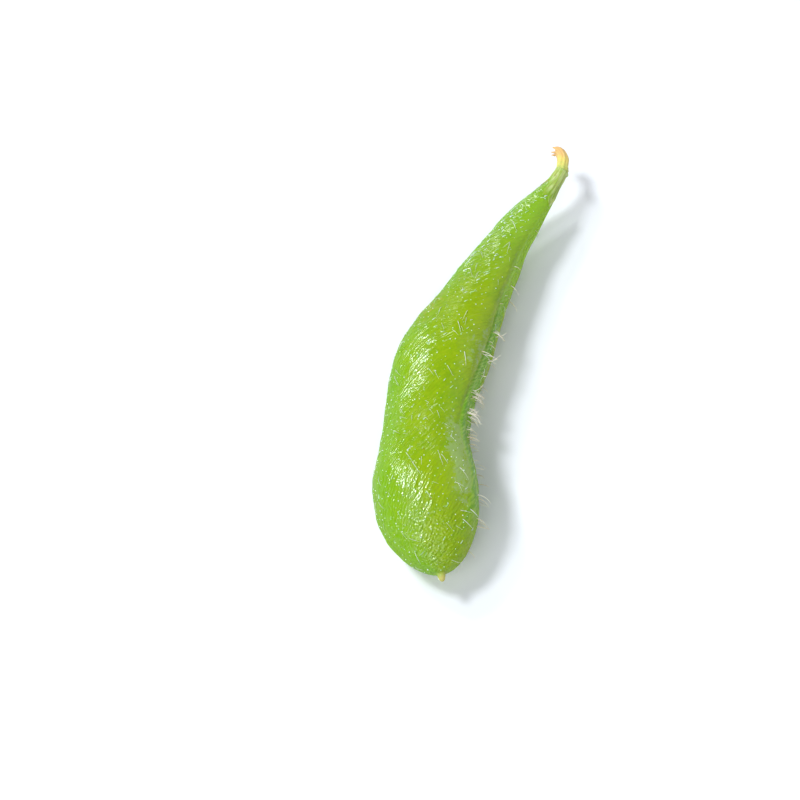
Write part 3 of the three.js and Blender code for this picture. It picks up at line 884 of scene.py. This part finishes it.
def seated_domes(mask):
    """Small domes set half into the skin, kept apart, where the mask is high."""
    def build(tree, given):
        share = add(tree, "GeometryNodeInputNamedAttribute", {"Name": mask}, data_type="FLOAT")
        share = add(tree, "ShaderNodeMath", {0: share, 1: (given, "Share")}, operation="MULTIPLY")
        points = add(
            tree, "GeometryNodeDistributePointsOnFaces",
            {
                "Mesh": (given, "Geometry"), "Distance Min": (given, "Apart"),
                "Density Max": (given, "Per square metre"), "Density Factor": share, "Seed": (given, "Seed"),
            },
            distribute_method="POISSON",
        )
        dome = add(
            tree, "GeometryNodeMeshUVSphere", {"Segments": 6, "Rings": 4, "Radius": (given, "Radius")},
        )
        scale = add(
            tree, "FunctionNodeRandomValue", {2: (given, "Smallest"), 3: 1.0, "Seed": (given, "Seed")},
            data_type="FLOAT",
        )
        return add(
            tree, "GeometryNodeInstanceOnPoints",
            {
                "Points": (points, "Points"), "Instance": (dome, "Mesh"),
                "Rotation": (points, "Rotation"), "Scale": scale,
            },
        )

    return build


def look_from(place, aim, thing):
    """Puts a camera or a lamp at a place and points it at another, both in metres."""
    thing.location = place
    thing.rotation_mode = "QUATERNION"
    thing.rotation_quaternion = (Vector(aim) - Vector(place)).to_track_quat("-Z", "Y")
    bpy.context.scene.collection.objects.link(thing)
    return thing


def direction(azimuth, elevation):
    """Towards a place round the object: azimuth 0 is in front of the blunt end, 90 on the seam's side."""
    a, e = math.radians(azimuth), math.radians(elevation)
    return Vector((math.sin(a) * math.cos(e), -math.cos(a) * math.cos(e), math.sin(e)))


# The camera stands where the photograph's did, looking down on the pod through a long lens.
VIEW_AZIMUTH, VIEW_ELEVATION, LENS, VIEW_DISTANCE = 16, 60, 100, 224.5
VIEW_CENTRE = Vector((-4.57, -8.22, 4.3))
camera_data = bpy.data.cameras.new("camera")
camera_data.lens = LENS
camera_data.clip_start, camera_data.clip_end = 1 * MM, 10
view_centre = VIEW_CENTRE * MM
camera_place = view_centre + direction(VIEW_AZIMUTH, VIEW_ELEVATION) * VIEW_DISTANCE * MM
camera = look_from(camera_place, view_centre, bpy.data.objects.new("camera", camera_data))
bpy.context.scene.camera = camera


def softbox(name, azimuth, elevation, distance, width, height, radiance, tint):
    """A soft lamp of a given size and brightness, turned towards the pod. Distances are in metres."""
    lamp = bpy.data.lights.new(name, "AREA")
    lamp.shape, lamp.size, lamp.size_y = "RECTANGLE", width, height
    lamp.energy = radiance * math.pi * width * height
    lamp.color = colour(tint)[:3]
    place = direction(azimuth, elevation) * distance
    return look_from(place, (0, 0, 0), bpy.data.objects.new(name, lamp))


# The lamps: name, azimuth, elevation, distance, width, height, radiance and tint, with distances in metres.
LAMPS = [
    ("key", -82, 58, 0.5, 0.1, 0.1, 46, LAMP_WHITE),
    ("key_low", -112, 44, 0.5, 0.075, 0.075, 35, LAMP_WHITE),
    ("front", -16, 44, 0.6, 0.3, 0.2, 5, LAMP_WHITE),
    ("fill", 20, 52, 0.7, 0.5, 0.4, 2.0, PLAIN_WHITE),
    ("back", -152, 30, 0.5, 0.07, 0.07, 9, PLAIN_WHITE),
    ("right_wall", 126, 35, 0.7, 0.73, 0.9, 0.42, PLAIN_WHITE),
]
ROOM_LIGHT = 0.19
FLOOR_HALF = 1.5  # in metres


def make_studio():
    """Two small bright lamps on the left, one behind, two soft ones in front, a pale wall, a dim room."""
    for lamp in LAMPS:
        softbox(*lamp)
    world = bpy.data.worlds.new("room")
    world.use_nodes = True
    world.node_tree.nodes["Background"].inputs["Color"].default_value = colour(ROOM_WHITE)
    world.node_tree.nodes["Background"].inputs["Strength"].default_value = ROOM_LIGHT
    bpy.context.scene.world = world
    mesh = bpy.data.meshes.new("floor")
    corners = [(x * FLOOR_HALF, y * FLOOR_HALF, 0) for x, y in ((-1, -1), (1, -1), (1, 1), (-1, 1))]
    mesh.from_pydata(corners, [], [(0, 1, 2, 3)])
    mesh.materials.append(floor_material())
    floor = bpy.data.objects.new("floor", mesh)
    bpy.context.scene.collection.objects.link(floor)
    bpy.context.scene.view_settings.view_transform = "Standard"


make_studio()
pod = make_pod()
seam_hairs = grown(
    "seam_hairs", pod, hair_material("seam_hair", SEAM_HAIR_PALE, SEAM_HAIR_TAN),
    {"Seed": 4, "Per square metre": 6.5 / MM**2, "Reach": 0.95 * MM, "Rise": 0.9 * MM, "Droop": 1.4,
     "Thickness": 0.12 * MM, "Spread": 1.1, "Smallest": 0.4},
    lying_hairs("seam_hairs", "hairward"),
)
cheek_hairs = grown(
    "cheek_hairs", pod, hair_material("cheek_hair", CHEEK_HAIR_CLEAR, CHEEK_HAIR_CREAM),
    {"Seed": 9, "Per square metre": 0.18 / MM**2, "Reach": 1.7 * MM, "Rise": 0.3 * MM, "Droop": 0.4,
     "Thickness": 0.07 * MM, "Spread": 0.6, "Smallest": 0.35},
    lying_hairs("cheek_hairs", "hairward"),
)
# The stubs are short hairs painted near white, which also stand as painted glints of the wet gloss, mostly
# on the neck.
skin_stubs_and_glints = grown(
    "skin_stubs_and_glints", pod, painted_glint_material(),
    {"Seed": 6, "Per square metre": 2.2 / MM**2, "Reach": 0.5 * MM, "Rise": 0.08 * MM, "Droop": 0.0,
     "Thickness": 0.13 * MM, "Spread": 0.3, "Smallest": 0.25},
    lying_hairs("skin_stubs_and_glints", "grainward"),
)
# The hair feet are domes painted near white: painted glints dotted over the skin.
hair_feet_and_glints = grown(
    "hair_feet_and_glints", pod, painted_glint_material(),
    {"Seed": 2, "Per square metre": 2.4 / MM**2, "Apart": 0.45 * MM, "Share": 1.0, "Radius": 0.075 * MM,
     "Smallest": 0.4},
    seated_domes("hair_feet_and_glints"),
)
finish_piece(pod, pod_wall_material(), "pod")
finish_piece(make_calyx(), calyx_material(), "calyx")
finish_piece(make_stalk(), stalk_material(), "stalk")
for hairs in (seam_hairs, cheek_hairs, skin_stubs_and_glints, hair_feet_and_glints):
    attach(hairs, ROOT)
